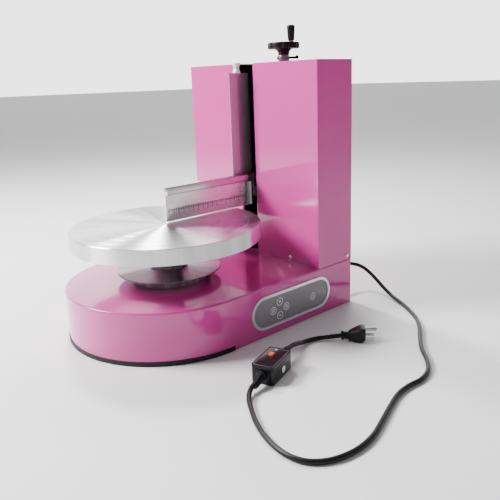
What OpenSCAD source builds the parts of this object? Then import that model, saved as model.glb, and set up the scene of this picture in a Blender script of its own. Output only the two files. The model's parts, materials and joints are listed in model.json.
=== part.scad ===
// Electric cake-cream spreading machine: a motor turns the cake plate under a levelling
// blade that a handwheel raises, beside an upright blade that smooths the cake's side.
// Millimetres. The origin is the centre of the footprint, on the table top.
// +X is the side with the control panel, -Y is the rounded front and +Z is up.

/* [Base] */
// Width of the base, side to side
base_w = 323; // [316:1:330]
// Depth of the base, rounded front to flat back
base_d = 438; // [434:1:446]
// Height of the base's top face
base_h = 80; // [80:1:84]
// Thickness of the painted sheet steel
sheet_t = 1.5; // [1.2:0.1:1.8]
// Bend radius along the base's top edge
base_edge_r = 2.5; // [2:0.5:4]

/* [Columns] */
// Depth of the two columns, front to back
column_d = 85.5; // [85:0.5:88]
// Height of the columns' tops above the table
column_top = 416; // [416:1:420]
// Half width of the slot between the columns, on the right column's side
slot_right = 13.1; // [12:0.1:16]
// Half width of the slot between the columns, on the left column's side
slot_left = 24.1; // [20:0.1:28]
// Bend radius at the slot's edges
slot_edge_r = 3; // [2:0.5:3]

/* [Turntable] */
// Diameter of the cake plate
plate_d = 304.8; // [280:0.2:304.8]
// Thickness of the cake plate at its rim
plate_t = 25; // [22:1:27]
// Diameter of the small plate under the cake plate
small_plate_d = 169; // [150:1:180]
// Diameter of the polished collar under the small plate
collar_d = 132; // [120:1:140]

/* [Blades] */
// Height of the levelling blade and its bar
arm_h = 57.5; // [56:0.5:58]
// Thickness of the blades
blade_t = 2; // [1.5:0.1:2]
// Width of the upright blade
side_blade_w = 41.4; // [36:0.2:41.4]

/* [Handwheel] */
// Diameter of the handwheel
wheel_d = 54; // [46:1:56]
// Number of hollows round the handwheel's rim
wheel_lobes = 10; // [6:1:12]

/* [Mains lead] */
// Diameter of the mains lead
lead_d = 6.6; // [6:0.1:7]

/* [Hidden] */
$fn = 96;

pink = [0.89, 0.56, 0.74];
steel = [0.75, 0.76, 0.78];
black = [0.06, 0.06, 0.07];

base_half = base_w / 2;
back_y = base_d / 2;
arc_y = base_half - back_y;         // centre of the rounded front
back_corner_r = 4;
wall_foot_z = 1;                    // lower edge of the side and back walls
skid_h = 7;
skid_lip = 1.2;                     // how far the skid stands out of the wall
skid_in = 11.5;
skid_end_y = arc_y + 3.5;           // the shell's raised front edge ends here

column_y = back_y - column_d;
column_z = base_h;
hem_d = 4;                          // depth of the hem at the slot's edge
cover_t = 1.2;
cover_half = 156;
csk_r = 3.8;                        // head radius of the countersunk screws

table_y = -53;                      // turntable axis
plate_top = 168;
plate_z = plate_top - plate_t;
small_plate_z = 93.3;
collar_z = base_h + 0.6;
ring_groove_radii = [64, 86, 109.5, 132.5];
spindle_r = 10;
bearing_z = [40, 62];               // lower faces of the two bearings
bearing_h = 10;
race_in_r = 13.5;
race_out_r = 18;
bearing_r = 21;

belt_z = 22;
belt_h = 10;
belt_t = 1.5;
belt_gap = 0.3;
pulley_flange = 2;
big_pulley_r = 36;
small_pulley_r = 12;
motor_pos = [80, 40];
motor_z = 39;
motor_r = 26;
motor_h = 36;

screw_pos = [48, 176];              // lead screw axis
screw_r = 6;
rod_r = 5;
rod_offset = 22;
running_gap = 0.05;
frame_x = [-slot_left - 1.5, 92];   // width of the slide frame's back plate
frame_y = 205.5;
block_h = 16;
block_z = [base_h + sheet_t, column_top - sheet_t - sheet_t - block_h];

arm_x = [-5, 4];
arm_tip_y = -49;
arm_z = 169;
bar_h = 13;
bar_z = arm_z + arm_h - bar_h;
tongue_y = 136;
tongue_x = -2;
ruler_z = arm_z + 21;               // lower band of the blade, thinned towards its edge
clamp_pos = [2.1, 128.5];
clamp_r = 5;
carriage_z = 188;
carriage_h = 34;
carriage_y = [163, 189];

side_x = -11;
side_back_y = 143;
side_front_y = side_back_y - side_blade_w;
side_z = 169.5;
side_top = 399;
side_knob_y = 118;
post_x = [-12.6, -6.4];
slide_bar_z = [240, 360];
slide_bar_h = 10;
slide_bar_end = 204.5;
guide_y = 153;
guide_len = 13;
guide_gap = 0.25;

collar_h = 11.5;
hub_z = column_top + collar_h;
wheel_z = 438;
wheel_t = 10;
grip_offset = 18;
grip_z = wheel_z + wheel_t + 1.5;
grip_top = 475;
lever_z = 423;
lever_turn = 47.5;
lever_r = 2;

panel_pos = [69.4, 39.8];           // panel centre along Y and Z
panel_size = [178, 54];
bezel_w = 4.5;
bezel_proud = 1.7;
face_x = base_half + 0.7;
key_r = 6.4;
key_proud = 0.2;
key_mode_pos = [25.4, 38.4];
key_faster_pos = [39.8, 50];
key_slower_pos = [39.9, 27.3];
key_start_pos = [54.2, 38.4];
key_power_pos = [116.4, 37.6];
KEYS = [key_mode_pos, key_faster_pos, key_slower_pos, key_start_pos, key_power_pos];
board_x = 150;
board_t = 1.6;

gland_pos = [112, 50];              // cable gland along X and Z
gland_tip_y = back_y + 34;
box_pos = [255, -69.5];
box_turn = -70.5;
box_size = [58, 33, 27];
box_corner_r = 4;
box_wall = 2;
lid_z = 21.5;
button_pos = [-5.5, -2.5];
lens_pos = [-21.5, -2.5];
button_w = 7;
button_proud = 2.6;
relief_len = 22;
plug_pos = [254.5, 77];
plug_turn = 42.5;
earth_pin_z = 19.3;

// Route of the lead from the back of the machine, round its side, to the switch box
mains_route = [
    [112, 250, 50], [112, 256, 50], [114, 266, 49], [120.5, 275.5, 47], [130, 282, 44.5],
    [142, 284.5, 40], [158, 284, 32], [176, 281, 22], [194, 277, 13], [212, 272, 6.6],
    [232, 264, 4], [250, 254, 3.5], [275, 236, 3.4], [299, 215, 3.4], [320, 189, 3.4],
    [339, 160, 3.4], [360, 131, 3.4], [386, 103, 3.4], [402, 79, 3.4], [409, 52, 3.4],
    [407, 26, 3.4], [409, 0, 3.4], [419, -32, 3.4], [430, -63, 3.4], [440, -94, 3.4],
    [443, -126, 3.4], [436, -157, 3.4], [419, -178, 3.4], [394, -185, 3.4],
    [362, -180, 3.4], [330, -167, 3.5], [303, -151, 3.8], [285, -138.5, 4.8],
    [273, -125, 7], [268.3, -113, 9.6]
];
// Route of the lead from the switch box to the plug
plug_route = [
    [238, -21.4, 15.5], [233.5, -8, 14.5], [229, 8, 11], [225, 24, 6.4], [224, 40, 4],
    [229, 54, 4], [241, 66, 6], [256, 78.4, 9]
];

// ---- shared shapes ----

// Half of the base's cross-section: radius along X, height along Y, rounded top corner
module base_half_section(half_w, z_low, z_top, r) {
    translate([0, z_low]) square([half_w - r, z_top - z_low]);
    translate([0, z_low]) square([half_w, z_top - z_low - r]);
    translate([half_w - r, z_top - r]) circle(r);
}

// Plan of the base, drawn in by inset: a half-disc in front, rounded corners behind
module base_plan(inset) {
    half_w = base_half - inset;
    corner_r = back_corner_r - min(inset, back_corner_r - 1);
    end_y = back_y - inset;
    translate([0, arc_y]) circle(half_w);
    translate([-half_w, arc_y]) square([2 * half_w, end_y - corner_r - arc_y]);
    translate([corner_r - half_w, arc_y]) square([2 * (half_w - corner_r), end_y - arc_y]);
    for (side = [-1, 1])
        translate([side * (half_w - corner_r), end_y - corner_r]) circle(corner_r);
}

// The base as a block, drawn in by inset, between two heights
module base_block(inset, z_low, z_top, r) {
    half_w = base_half - inset;
    intersection() {
        union() {
            translate([0, arc_y, 0]) rotate([0, 0, 180]) rotate_extrude(angle = 180)
                base_half_section(half_w, z_low, z_top, r);
            translate([0, back_y - inset, 0]) rotate([90, 0, 0])
                linear_extrude(back_y - inset - arc_y) {
                    base_half_section(half_w, z_low, z_top, r);
                    mirror([1, 0]) base_half_section(half_w, z_low, z_top, r);
                }
        }
        linear_extrude(z_top) base_plan(inset);
    }
}

// A flat bar with round ends, centred, long side along X
module stadium(size) {
    reach = (size.x - size.y) / 2;
    square([2 * reach, size.y], center = true);
    for (side = [-1, 1]) translate([side * reach, 0]) circle(d = size.y);
}

// Puts a shape drawn in X and Y on the panel's side wall, extruded outwards from x
module on_panel(x, depth) {
    translate([x, 0, 0]) rotate([90, 0, 90]) linear_extrude(depth) children();
}

// A box given by its lowest and highest corners
module block(low, high) {
    translate(low) cube(high - low);
}

module tube(r_out, r_in, h) {
    difference() {
        cylinder(r = r_out, h = h);
        translate([0, 0, -1]) cylinder(r = r_in, h = h + 2);
    }
}

// Turns its children's +Z axis to run from start towards end
module along(start, end) {
    d = end - start;
    translate(start) rotate([0, acos(d.z / norm(d)), atan2(d.y, d.x)]) children();
}

module on_turntable(z) {
    translate([0, table_y, z]) children();
}

module on_screw(z) {
    translate([screw_pos.x, screw_pos.y, z]) children();
}

module on_motor(z) {
    translate([motor_pos.x, motor_pos.y, z]) children();
}

// Pan-head screw: head above z = 0, shank below
module pan_screw(head_r, shank_l) {
    cylinder(r = head_r, h = 1.2);
    translate([0, 0, 1.2]) cylinder(r1 = head_r, r2 = head_r * 0.7, h = 0.7);
    translate([0, 0, -shank_l]) cylinder(r = 2, h = shank_l);
}

// ---- base ----

tab_spots = [[-1, -20], [-1, 80], [-1, 170], [1, -20], [1, 80], [1, 170]];
tab_in = 9;                         // screw's distance from the wall
tab_z = skid_h + sheet_t;

module at_tabs(z) {
    for (spot = tab_spots)
        translate([spot.x * (base_half - sheet_t - tab_in), spot.y, z]) children();
}

module base_shell() {
    color(pink) {
        difference() {
            base_block(0, wall_foot_z, base_h, base_edge_r);
            translate([0, 0, -1]) base_block(sheet_t, 0, base_h - sheet_t + 1, base_edge_r - sheet_t);
            block([-base_half - 1, -back_y - 1, 0], [base_half + 1, skid_end_y, skid_h]);
            on_turntable(base_h - sheet_t - 1) cylinder(r = spindle_r + 2, h = sheet_t + 2);
            on_panel(base_half - sheet_t - 1, sheet_t + 2)
                translate(panel_pos) stadium([171, 47]);
            translate([gland_pos.x, back_y + 1, gland_pos.y]) rotate([90, 0, 0])
                cylinder(r = 6, h = sheet_t + 2);
        }
        difference() {
            at_tabs(tab_z) translate([-tab_in, -10, 0]) cube([2 * tab_in, 20, sheet_t]);
            at_tabs(tab_z - 1) cylinder(r = 2 + running_gap, h = sheet_t + 2);
        }
    }
}

module base_plate() {
    color(steel) difference() {
        translate([0, 0, skid_h]) linear_extrude(sheet_t) base_plan(sheet_t + 0.1);
        at_tabs(skid_h) cylinder(r1 = csk_r + 0.1, r2 = 2.1, h = sheet_t);
    }
}

module front_skid() {
    color(black) difference() {
        translate([0, arc_y, 0]) cylinder(r = base_half + skid_lip, h = skid_h);
        translate([0, arc_y, -1]) cylinder(r = base_half - skid_in, h = skid_h + 2);
        block([-base_w, skid_end_y, -1], [base_w, base_w, skid_h + 1]);
    }
}

module rear_feet() {
    color(black) for (x = [-134, 134], y = [20, 190])
        translate([x, y, 0]) {
            cylinder(r1 = 12, r2 = 13.5, h = 2);
            translate([0, 0, 2]) cylinder(r = 13.5, h = skid_h - 2);
        }
}

module countersunk_screw(depth, shank_l) {
    cylinder(r1 = csk_r, r2 = 2, h = depth);
    translate([0, 0, depth]) cylinder(r = 2, h = shank_l);
}

cover_spots = [[-1, 100], [-1, 250], [-1, 396], [1, 100], [1, 250], [1, 396]];
cover_screw_x = 149;

module at_cover_screws(y) {
    for (spot = cover_spots)
        translate([spot.x * cover_screw_x, y, spot.y]) rotate([90, 0, 0]) children();
}

module countersunk_screws() {
    color(steel) {
        at_tabs(skid_h) countersunk_screw(sheet_t, 6);
        at_cover_screws(back_y + cover_t) countersunk_screw(cover_t, 6);
    }
}

// ---- columns ----

side_bend_r = 2;

// Plan of one column's sheet, drawn for the +X side: front, outer wall and rear flange,
// with its edge at the slot at edge_x
module column_plan(edge_x) {
    difference() {
        union() {
            translate([edge_x + slot_edge_r, column_y + slot_edge_r]) circle(slot_edge_r);
            translate([edge_x, column_y + slot_edge_r])
                square([2 * slot_edge_r, back_y - column_y - slot_edge_r]);
            translate([edge_x + slot_edge_r, column_y])
                square([base_half - edge_x - slot_edge_r - side_bend_r, back_y - column_y]);
            translate([base_half - 2 * side_bend_r, column_y + side_bend_r])
                square([2 * side_bend_r, back_y - column_y - 2 * side_bend_r]);
            for (y = [column_y + side_bend_r, back_y - side_bend_r])
                translate([base_half - side_bend_r, y]) circle(side_bend_r);
        }
        column_hollow_plan(edge_x);
    }
}

// The room inside one column, open towards the slot and the back
module column_hollow_plan(edge_x) {
    inner = base_half - sheet_t;
    edge_r = slot_edge_r - sheet_t;
    translate([edge_x + slot_edge_r, column_y + slot_edge_r]) circle(edge_r);
    translate([edge_x + sheet_t, column_y + slot_edge_r]) square([20, 60]);
    translate([edge_x + slot_edge_r, column_y + sheet_t])
        square([inner - edge_x - slot_edge_r, column_d - 2 * sheet_t]);
    translate([edge_x - 1, column_y + hem_d]) square([20, column_d]);
    translate([edge_x, back_y - 10]) square([cover_screw_x - 9 - edge_x, 20]);
}

module column_sheet(edge_x) {
    translate([0, 0, column_z]) linear_extrude(column_top - column_z) column_plan(edge_x);
    translate([0, 0, column_top - sheet_t]) linear_extrude(sheet_t)
        translate([edge_x, column_y + hem_d])
            square([base_half - edge_x - sheet_t, column_d - hem_d]);
    translate([0, 0, column_top - sheet_t]) linear_extrude(sheet_t)
        translate([edge_x + slot_edge_r, column_y + sheet_t])
            square([base_half - edge_x - slot_edge_r - sheet_t, column_d / 2]);
}

front_screw_x = 97;
column_screw_z = 88;
side_screw_y = 206;

module at_column_screws(out) {
    for (side = [-1, 1]) {
        translate([side * front_screw_x, column_y - out, column_screw_z])
            rotate([90, 0, 0]) children();
        translate([side * (base_half + out), side_screw_y, column_screw_z])
            rotate([0, side * 90, 0]) children();
    }
}

module column_with_holes(edge_x) {
    difference() {
        column_sheet(edge_x);
        at_column_screws(1) translate([0, 0, -4]) cylinder(r = 2.1, h = 8);
        at_cover_screws(back_y + 1) cylinder(r = 2.1, h = 5);
    }
}

module left_column() {
    color(pink) mirror([1, 0, 0]) column_with_holes(slot_left);
}

module right_column() {
    color(pink) difference() {
        column_with_holes(slot_right);
        on_screw(column_top - 3) cylinder(r = 8, h = 5);
    }
}

housing_screw_r = 35;

module pan_screws() {
    color(steel) {
        at_column_screws(0) pan_screw(3.6, 8);
        for (turn = [45:90:315])
            on_turntable(74.5) rotate([0, 0, turn]) translate([housing_screw_r, 0, 0])
                mirror([0, 0, 1]) pan_screw(3.6, 3.9);
        at_motor_screws(motor_z - 3) mirror([0, 0, 1]) pan_screw(3.6, 8);
    }
}

module back_cover() {
    color(pink) difference() {
        block([-cover_half, back_y, column_z + 4], [cover_half, back_y + cover_t, column_top - 4]);
        at_cover_screws(back_y + cover_t) cylinder(r1 = csk_r + 0.1, r2 = 2.1, h = cover_t);
        for (side = [-1, 1], x = [60:20:120], z = [120, 360])
            translate([side * x, back_y - 1, z]) rotate([-90, 0, 0])
                linear_extrude(cover_t + 2) rotate(90) stadium([34, 5]);
    }
}

// ---- slide frame inside the columns ----

// Ears bent up from the frame's foot, just inside the walls that are screwed to them
module frame_ears() {
    ear = 16;
    for (side = [-1, 1]) {
        translate([side * front_screw_x - ear / 2, column_y + sheet_t, base_h]) {
            cube([ear, sheet_t, ear]);
            cube([ear, ear, sheet_t]);
        }
        translate([side * (base_half - 1.5 * sheet_t), side_screw_y, base_h + ear / 2])
            cube([sheet_t, ear, ear], center = true);
    }
}

module slide_frame() {
    foot_z = base_h;
    head_z = column_top - 2 * sheet_t;
    color(black) difference() {
        union() {
            block([frame_x[0], frame_y, foot_z], [frame_x[1], frame_y + sheet_t, head_z + sheet_t]);
            block([frame_x[0], column_y + hem_d + 0.5, foot_z],
                  [frame_x[0] + sheet_t, frame_y, head_z + sheet_t]);
            block([sheet_t - base_half, 150, foot_z],
                  [base_half - sheet_t, frame_y, foot_z + sheet_t]);
            frame_ears();
            block([frame_x[0], 150, head_z], [frame_x[1], frame_y, head_z + sheet_t]);
            for (z = slide_bar_z)
                block([frame_x[0] + sheet_t, guide_y, z - 4],
                      [-6, guide_y + guide_len, z + slide_bar_h + 4]);
        }
        for (z = slide_bar_z)
            block([-12 - guide_gap, guide_y - 1, z - guide_gap],
                  [-7.5 + guide_gap, guide_y + guide_len + 1, z + slide_bar_h + guide_gap]);
        on_screw(head_z - 1) cylinder(r = 8, h = 5);
        at_column_screws(0) translate([0, 0, -9]) cylinder(r = 2 + running_gap, h = 9);
    }
}

module bearing_blocks() {
    color("silver") for (z = block_z) difference() {
        block([14, 160, z], [82, frame_y, z + block_h]);
        on_screw(z - 1) cylinder(r = screw_r + running_gap, h = block_h + 2);
        for (side = [-1, 1])
            on_screw(z - 1) translate([side * rod_offset, 0, 0])
                cylinder(r = rod_r, h = block_h + 2);
    }
}

module guide_rods() {
    color(steel) for (side = [-1, 1])
        on_screw(block_z[0]) translate([side * rod_offset, 0, 0])
            cylinder(r = rod_r, h = block_z[1] + block_h - block_z[0]);
}

// ---- control panel and electrics ----

module panel_bezel() {
    color("silver") on_panel(base_half, bezel_proud) translate(panel_pos) difference() {
        stadium(panel_size);
        stadium(panel_size - [2 * bezel_w, 2 * bezel_w]);
    }
}

module panel_face() {
    face_size = panel_size - [2 * bezel_w + 0.2, 2 * bezel_w + 0.2];
    color([0.3, 0.31, 0.33]) {
        on_panel(base_half - sheet_t, face_x - base_half + sheet_t) difference() {
            translate(panel_pos) stadium(face_size);
            for (key = KEYS) translate(key) circle(key_r + 0.2);
        }
        on_panel(board_x + board_t, base_half - sheet_t - board_x - board_t)
            for (y = [0, 138], z = [-14, 14]) translate([y, panel_pos.y + z]) circle(3);
    }
}

module key(pos) {
    color([0.3, 0.31, 0.33])
        on_panel(base_half - 2, face_x + key_proud - base_half + 2) translate(pos) circle(key_r);
}

module control_board() {
    switch_x = base_half - 2.5;
    color("darkgreen") block([board_x, -5, 18], [board_x + board_t, 145, 62]);
    color(black) {
        for (key = KEYS)
            block([board_x + board_t, key.x - 3, key.y - 3], [switch_x, key.x + 3, key.y + 3]);
        block([board_x - 16, 5, 26], [board_x, 33, 50]);
        block([board_x - 12, 84, 24], [board_x, 112, 36]);
    }
    color("silver") translate([board_x - 14, 60, 38]) rotate([0, 90, 0]) cylinder(r = 8, h = 14);
}

module power_supply() {
    color("silver") difference() {
        block([-130, 50, tab_z], [-70, 150, 40]);
        for (y = [62:10:142]) block([-120, y, 38], [-80, y + 4, 41]);
    }
}

// ---- motor and belt ----

module drive_motor() {
    color(steel) difference() {
        union() {
            on_motor(motor_z) cylinder(r = motor_r, h = motor_h);
            on_motor(motor_z - 3) cylinder(r = 8, h = 3);
        }
        on_motor(motor_z - 4) cylinder(r = 4 + running_gap, h = 10);
        at_motor_screws(motor_z - 1) cylinder(r = 2 + running_gap, h = 7);
    }
}

module motor_bracket() {
    color(steel) {
        difference() {
            on_motor(motor_z - 3) translate([-38, -38, 0]) cube([76, 76, 3]);
            on_motor(motor_z - 4) cylinder(r = 8, h = 5);
            at_motor_screws(motor_z - 4) cylinder(r = 2 + running_gap, h = 5);
        }
        for (x = [-34, 34], y = [-34, 34])
            on_motor(tab_z) translate([x, y, 0]) cylinder(r = 4, h = motor_z - 3 - tab_z);
    }
}

module at_motor_screws(z) {
    for (x = [-18, 18]) on_motor(z) translate([x, 0, 0]) children();
}

module motor_shaft() {
    color(steel) on_motor(16) cylinder(r = 4, h = motor_z + 5 - 16);
}

module pulley(r, bore_r) {
    flange_t = 1.5;
    difference() {
        union() {
            cylinder(r = r, h = belt_h + 2 * flange_t + 1);
            for (z = [0, belt_h + flange_t + 1])
                translate([0, 0, z]) cylinder(r = r + pulley_flange, h = flange_t);
        }
        translate([0, 0, -1]) cylinder(r = bore_r, h = belt_h + 10);
    }
}

module motor_pulley() {
    color("silver") on_motor(belt_z - 2) pulley(small_pulley_r, 4);
}

module spindle_pulley() {
    color("silver") on_turntable(belt_z - 2) pulley(big_pulley_r, spindle_r);
}

// Plan of a loop round both pulleys, at a distance from their rims
module belt_plan(gap) {
    hull() {
        translate([0, table_y]) circle(big_pulley_r + gap);
        translate(motor_pos) circle(small_pulley_r + gap);
    }
}

module drive_belt() {
    color(black) translate([0, 0, belt_z]) linear_extrude(belt_h) difference() {
        belt_plan(belt_gap + belt_t);
        belt_plan(belt_gap);
    }
}

// ---- turntable ----

module spindle_housing() {
    color("silver") difference() {
        union() {
            on_turntable(74.5) cylinder(r = 42, h = base_h - sheet_t - 74.5);
            on_turntable(38) cylinder(r = bearing_r + 6, h = 37);
        }
        on_turntable(37) cylinder(r = bearing_r, h = 37.5);
        on_turntable(70) cylinder(r = spindle_r + 2, h = 20);
        for (turn = [45:90:315])
            on_turntable(70) rotate([0, 0, turn]) translate([housing_screw_r, 0, 0])
                cylinder(r = 2 + running_gap, h = 20);
    }
}

module bearing_outer_rings() {
    color(steel) for (z = bearing_z) on_turntable(z) tube(bearing_r, race_out_r, bearing_h);
}

module bearing_inner_rings() {
    color(steel) for (z = bearing_z) on_turntable(z) tube(race_in_r, spindle_r, bearing_h);
}

module spindle() {
    color(steel) {
        on_turntable(14) cylinder(r = spindle_r, h = 112);
        on_turntable(13) cylinder(r1 = spindle_r - 1, r2 = spindle_r, h = 1);
    }
}

module collar_ring() {
    top_t = 2.5;
    color(steel) difference() {
        on_turntable(collar_z) cylinder(d = collar_d, h = small_plate_z - collar_z);
        on_turntable(collar_z - 1)
            cylinder(d = collar_d - 6, h = small_plate_z - collar_z - top_t + 1);
        on_turntable(collar_z - 1) cylinder(r = spindle_r, h = 30);
    }
}

module small_plate() {
    rim_r = small_plate_d / 2;
    color(steel) on_turntable(small_plate_z) rotate_extrude() polygon([
        [spindle_r, 0], [rim_r - 12, 0], [rim_r - 1, 0.8], [rim_r, 1.8], [rim_r - 0.4, 2.8],
        [rim_r - 2, 3], [34, 4.4], [spindle_r, 4.4]
    ]);
}

module plate_adapter() {
    boss_z = small_plate_z + 4.4;
    color(steel) difference() {
        union() {
            on_turntable(boss_z) cylinder(r = 30, h = 5);
            on_turntable(boss_z + 5) cylinder(r = 22, h = 146 - boss_z - 5);
            on_turntable(144) cylinder(r = 34, h = 6);
            on_turntable(150) cylinder(r = 8, h = 8);
        }
        on_turntable(boss_z - 1) cylinder(r = spindle_r, h = 126 - boss_z + 1);
    }
}

// A thin web with a thick rim and a hub, so the plate is hollow underneath
module cake_plate() {
    web_t = 7;
    rim_t = 7;
    r = plate_d / 2;
    groove_d = 0.5;
    color(steel) on_turntable(0) difference() {
        rotate_extrude() difference() {
            union() {
                polygon([
                    [0, plate_top - web_t], [r - rim_t, plate_top - web_t],
                    [r - rim_t, plate_z], [r - 0.8, plate_z], [r, plate_z + 0.8],
                    [r, plate_top - 0.8], [r - 0.8, plate_top], [0, plate_top]
                ]);
                translate([0, 150]) square([34, plate_top - web_t - 150]);
            }
            for (ring_r = ring_groove_radii)
                translate([ring_r, plate_top]) rotate(45)
                    square(groove_d * sqrt(2), center = true);
        }
        translate([0, 0, 149]) cylinder(r = 8, h = 9);
    }
}

// ---- levelling arm ----

module blade_bevel_plan(low, high) {
    polygon([
        [0, low], [0.7, low], [blade_t, low + 21], [blade_t, high], [0, high]
    ]);
}

// Extrudes a profile drawn in X and Z backwards along Y, from front to back
module along_y(front, back) {
    translate([0, back, 0]) rotate([90, 0, 0]) linear_extrude(back - front) children();
}

module arm_bar() {
    chamfer = 1.2;
    x0 = arm_x[0];
    x1 = arm_x[1];
    color("silver") along_y(arm_tip_y, tongue_y) polygon([
        [x0, bar_z], [x1 - chamfer, bar_z], [x1, bar_z + chamfer],
        [x1, bar_z + bar_h - chamfer], [x1 - chamfer, bar_z + bar_h], [x0, bar_z + bar_h]
    ]);
}

module arm_tongue() {
    color("silver") difference() {
        block([tongue_x, tongue_y, arm_z + 15.7], [arm_x[1], carriage_y[1], arm_z + arm_h]);
        for (z = [196, 214])
            translate([tongue_x - 1, 176, z]) rotate([0, 90, 0]) cylinder(r = 2.5, h = 8);
    }
}

module level_blade() {
    color("gainsboro") along_y(arm_tip_y, 130)
        translate([arm_x[0], 0]) blade_bevel_plan(arm_z, bar_z);
}

module blade_clamp() {
    color(steel) {
        difference() {
            union() {
                translate([clamp_pos.x, clamp_pos.y, arm_z + 3]) cylinder(r = clamp_r, h = 37);
                block([arm_x[0] + blade_t, clamp_pos.y, arm_z + 16], [0, tongue_y, bar_z - 1]);
            }
            block([arm_x[0] - 2, 100, arm_z], [arm_x[0] + blade_t, tongue_y, bar_z]);
        }
    }
    color(black)
        translate([clamp_pos.x, clamp_pos.y, arm_z + 40]) cylinder(r = clamp_r - 0.8, h = 4);
}

module carriage() {
    color("gray") difference() {
        block([arm_x[1], carriage_y[0], carriage_z], [82, carriage_y[1], carriage_z + carriage_h]);
        on_screw(carriage_z - 1) cylinder(r = 10, h = carriage_h + 2);
        for (side = [-1, 1])
            on_screw(carriage_z - 1) translate([side * rod_offset, 0, 0])
                cylinder(r = rod_r + running_gap, h = carriage_h + 2);
    }
}

module lead_nut() {
    color("goldenrod") on_screw(carriage_z - 1) difference() {
        union() {
            cylinder(r = 10, h = carriage_h + 1);
            translate([0, 0, carriage_h + 1]) cylinder(r = 13, h = 2.5);
        }
        translate([0, 0, -1]) cylinder(r = screw_r + running_gap, h = carriage_h + 6);
    }
}

// ---- lead screw and handwheel ----

module lead_screw() {
    color(steel) on_screw(block_z[0] + 1) cylinder(r = screw_r, h = wheel_z + 6 - block_z[0] - 1);
}

module lock_collar() {
    color("silver") difference() {
        union() {
            on_screw(column_top) cylinder(d = 19, h = collar_h - 0.5);
            on_screw(lever_z) rotate([0, 0, lever_turn + 180]) rotate([0, 90, 0])
                cylinder(r = 3, h = 11.5);
        }
        on_screw(column_top - 1) cylinder(r = screw_r + running_gap, h = 20);
        on_screw(lever_z) rotate([0, 90, lever_turn])
            cylinder(r = lever_r + running_gap, h = 12);
    }
}

module lock_lever() {
    tip = 22.5;
    color(black) on_screw(lever_z) rotate([0, 0, lever_turn]) {
        rotate([0, 90, 0]) translate([0, 0, screw_r + 0.6]) cylinder(r = lever_r, h = tip - screw_r - 0.6);
        translate([tip, 0, 0.6]) sphere(r = 3.2);
    }
}

module handwheel() {
    hub_top = wheel_z + wheel_t;
    lobe_r = 9;
    color(black) on_screw(0) difference() {
        rotate_extrude() polygon([
            [screw_r, hub_z], [9.6, hub_z], [9.6, hub_z + 4.5], [11, hub_z + 6.8],
            [15, wheel_z], [wheel_d / 2 - 1, wheel_z], [wheel_d / 2, wheel_z + 1],
            [wheel_d / 2, hub_top - 1.5], [wheel_d / 2 - 1.5, hub_top],
            [wheel_d / 2 - 7, hub_top], [wheel_d / 2 - 9, hub_top - 2], [11, hub_top - 2],
            [10, hub_top - 0.5], [0, hub_top - 0.5], [0, wheel_z + 6], [screw_r, wheel_z + 6]
        ]);
        for (i = [1:wheel_lobes])
            rotate([0, 0, (i + 0.5) * 360 / wheel_lobes])
                translate([wheel_d / 2 + lobe_r - 1.6, 0, wheel_z - 1])
                    cylinder(r = lobe_r, h = wheel_t + 2);
        translate([grip_offset, 0, wheel_z + 2]) cylinder(r = 2.5, h = wheel_t);
    }
}

module handle_pin() {
    color(steel) on_screw(wheel_z + 2) translate([grip_offset, 0, 0]) {
        cylinder(r = 2.5, h = 30);
        translate([0, 0, wheel_t - 2]) tube(4, 2.5, grip_z - wheel_z - wheel_t);
    }
}

module handle_grip() {
    h = grip_top - grip_z;
    color(black) on_screw(grip_z) translate([grip_offset, 0, 0]) rotate_extrude() polygon([
        [2.5 + running_gap, 0], [4.6, 0], [5.1, 0.8], [6, h * 0.45], [6.6, h * 0.8],
        [6.7, h - 2], [6.1, h - 0.6], [5, h], [0, h], [0, h - 4], [2.5 + running_gap, h - 4]
    ]);
}

// ---- upright side blade ----

module side_blade() {
    color("gainsboro") {
        translate([side_x, side_front_y, side_z]) linear_extrude(side_top - side_z) polygon([
            [0, 0], [0.7, 0], [blade_t, 16.4], [blade_t, side_blade_w], [0, side_blade_w]
        ]);
        block([post_x[0], side_front_y - 8, side_top], [-5.6, side_back_y, side_top + 1.2]);
    }
}

module side_knob() {
    color("white") translate([-9.2, side_knob_y, side_top + 1.2]) rotate_extrude() polygon([
        [0, 0], [6.4, 0], [6.8, 1], [6.5, 3], [5.2, 6], [4.8, 8.5], [5.2, 11], [6.8, 14],
        [7.4, 15.6], [7.2, 16.8], [6.2, 17.3], [0, 17.3]
    ]);
}

module side_carrier() {
    color(black) {
        block([post_x[0], side_back_y, side_z + 1], [post_x[1], side_back_y + 7, 387]);
        for (z = slide_bar_z)
            block([-12, side_back_y + 7, z], [-7.5, slide_bar_end, z + slide_bar_h]);
    }
}

// ---- mains lead, switch box and plug ----

// Point on a smooth curve through the four given points, t from 0 to 1 between b and c
function curve_point(a, b, c, d, t) =
    0.5 * (2 * b + (c - a) * t + (2 * a - 5 * b + 4 * c - d) * t * t
        + (3 * b - a - 3 * c + d) * t * t * t);

function route_path(route, steps) = let (last = len(route) - 1) [
    for (i = [0:last - 1], s = [0:steps - 1])
        curve_point(route[max(i - 1, 0)], route[i], route[i + 1], route[min(i + 2, last)], s / steps),
    route[last]
];

function unit(v) = v / norm(v);

function path_ring(path, i, r, sides) = let (
    ahead = unit(path[min(i + 1, len(path) - 1)] - path[max(i - 1, 0)]),
    across = unit(cross([0, 0, 1], ahead)),
    up = cross(ahead, across)
) [for (k = [0:sides - 1]) path[i] + r * (cos(360 * k / sides) * across + sin(360 * k / sides) * up)];

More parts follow.
